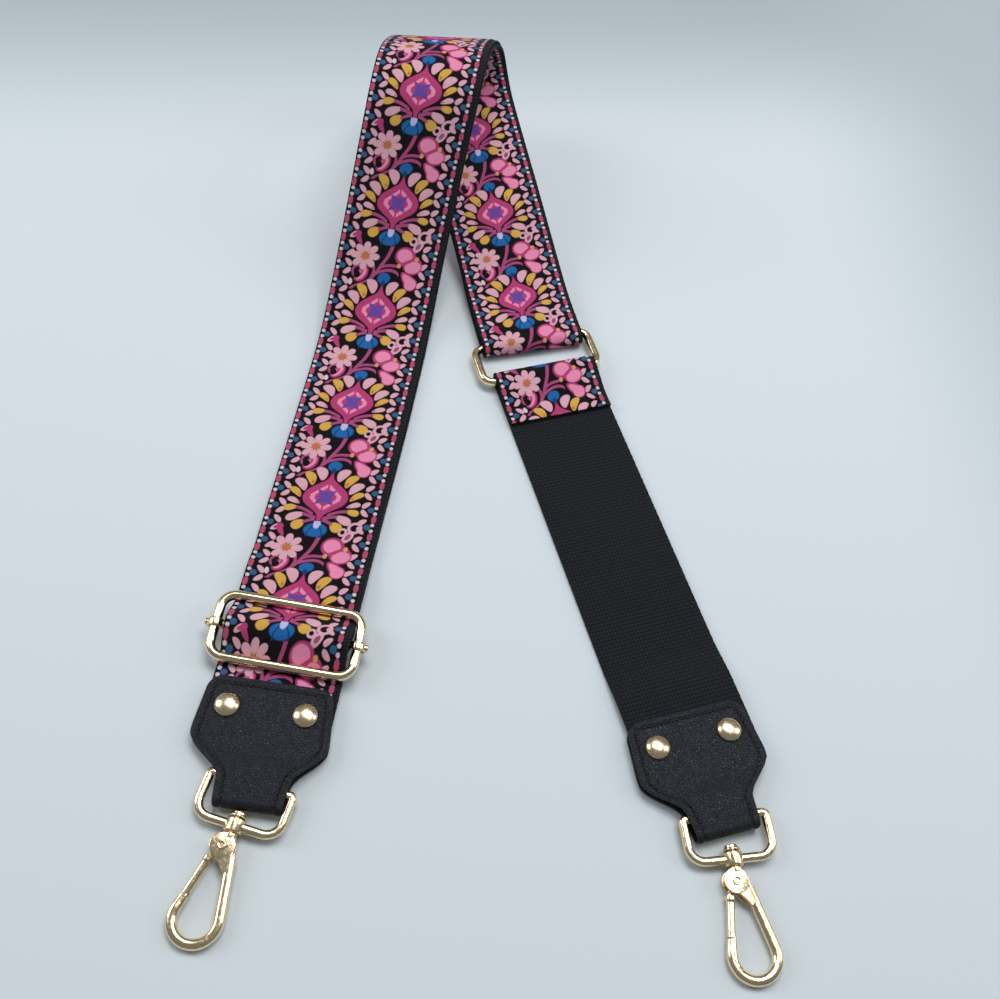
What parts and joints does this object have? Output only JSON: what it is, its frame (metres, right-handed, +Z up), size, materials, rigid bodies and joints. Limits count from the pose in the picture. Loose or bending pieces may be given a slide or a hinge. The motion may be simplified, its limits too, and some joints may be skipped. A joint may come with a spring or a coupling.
{
  "type": "bag strap",
  "caption": "Wide detachable bag strap: black webbing with a floral ribbon face, slider, ring, riveted leather tabs and gold swivel hooks.",
  "frame": {"origin": "On the table, under the middle of the box round the whole part.", "axes": "+Z is up from the table. +Y runs along the strap from the hooks to the far end of its arch. +X is across, from the left tab to the right tab."},
  "size_m": [0.2336, 0.4512, 0.0881],
  "materials": {
    "webbing_black": "plain woven cotton, matte",
    "ribbon_floral": "jacquard woven ribbon, matte",
    "leather_black": "fine pebble grain",
    "gold_plate": "polished light gold plating"
  },
  "bodies": {
    "long_strap": {"front_lower_ribbon": "ribbon_floral", "front_lower_webbing": "webbing_black", "front_arch_ribbon": "ribbon_floral", "front_arch_webbing": "webbing_black", "front_run_ribbon": "ribbon_floral", "front_run_webbing": "webbing_black", "return_run_ribbon": "ribbon_floral", "return_run_webbing": "webbing_black", "return_arch_ribbon": "ribbon_floral", "return_arch_webbing": "webbing_black", "return_lower_ribbon": "ribbon_floral", "return_lower_webbing": "webbing_black", "left_tab": "leather_black", "left_rivet_a": "gold_plate", "left_rivet_a_back": "gold_plate", "left_rivet_b": "gold_plate", "left_rivet_b_back": "gold_plate"},
    "slider": {"slider_frame": "gold_plate", "slider_bar": "gold_plate", "slider_loop_ribbon": "ribbon_floral", "slider_loop_webbing": "webbing_black"},
    "ring_carriage": {"ring_loop_ribbon": "ribbon_floral", "ring_loop_webbing": "webbing_black"},
    "ring": {"ring": "gold_plate"},
    "short_strap": {"short_ribbon": "ribbon_floral", "short_webbing": "webbing_black", "right_tab": "leather_black", "right_rivet_a": "gold_plate", "right_rivet_a_back": "gold_plate", "right_rivet_b": "gold_plate", "right_rivet_b_back": "gold_plate"},
    "left_bail": {"left_bail": "gold_plate"},
    "left_hook": {"left_hook": "gold_plate", "left_swivel_stud": "gold_plate", "left_gate_pin": "gold_plate", "left_gate_spring": "gold_plate"},
    "left_gate": {"left_gate": "gold_plate"},
    "right_bail": {"right_bail": "gold_plate"},
    "right_hook": {"right_hook": "gold_plate", "right_swivel_stud": "gold_plate", "right_gate_pin": "gold_plate", "right_gate_spring": "gold_plate"},
    "right_gate": {"right_gate": "gold_plate"}
  },
  "joints": [
    {"name": "slider_slide", "type": "slide", "parent": "long_strap", "child": "slider", "axis": [0.0128, 0.9999, 0], "range_m": [0, 0.04], "deforming": ["front_lower_ribbon", "front_lower_webbing", "return_lower_ribbon", "return_lower_webbing"]},
    {"name": "ring_follow", "type": "slide", "parent": "long_strap", "child": "ring_carriage", "axis": [0.3731, -0.9278, 0], "range_m": [0, 0.02], "deforming": ["front_run_ribbon", "front_run_webbing", "return_run_ribbon", "return_run_webbing"]},
    {"name": "ring_fold", "type": "hinge", "parent": "ring_carriage", "child": "ring", "pos_m": [-0.00731, 0.06993, 0.0046], "axis": [-0.9078, -0.4194, 0], "range_deg": [-30, 45]},
    {"name": "short_strap_fold", "type": "hinge", "parent": "ring", "child": "short_strap", "pos_m": [0.0015, 0.05087, 0.0046], "axis": [-0.9078, -0.4194, 0], "range_deg": [-30, 45]},
    {"name": "left_bail_swing", "type": "hinge", "parent": "long_strap", "child": "left_bail", "pos_m": [-0.08337, -0.16609, 0.00435], "axis": [-0.9888, 0.1495, 0], "range_deg": [-60, 90]},
    {"name": "left_hook_swivel", "type": "hinge", "parent": "left_bail", "child": "left_hook", "pos_m": [-0.08337, -0.16609, 0.00435], "axis": [0.1494, 0.9881, 0.0369], "continuous": true},
    {"name": "left_gate_swing", "type": "hinge", "parent": "left_hook", "child": "left_gate", "pos_m": [-0.08804, -0.18964, 0.00347], "axis": [-0.0055, -0.0365, 0.9993], "range_deg": [0, 20], "stiffness_Nm_per_rad": 0.02, "springref_deg": -5.73},
    {"name": "right_bail_swing", "type": "hinge", "parent": "short_strap", "child": "right_bail", "pos_m": [0.09387, -0.14953, 0.00435], "axis": [-0.9668, -0.2555, 0], "range_deg": [-60, 90]},
    {"name": "right_hook_swivel", "type": "hinge", "parent": "right_bail", "child": "right_hook", "pos_m": [0.09387, -0.14953, 0.00435], "axis": [-0.2553, 0.9662, 0.0369], "continuous": true},
    {"name": "right_gate_swing", "type": "hinge", "parent": "right_hook", "child": "right_gate", "pos_m": [0.09893, -0.173, 0.00347], "axis": [0.0094, -0.0356, 0.9993], "range_deg": [0, 20], "stiffness_Nm_per_rad": 0.02, "springref_deg": -5.73}
  ],
  "couplings": [
    {"joint": "ring_follow", "follows": "slider_slide", "ratio": 0.5}
  ]
}
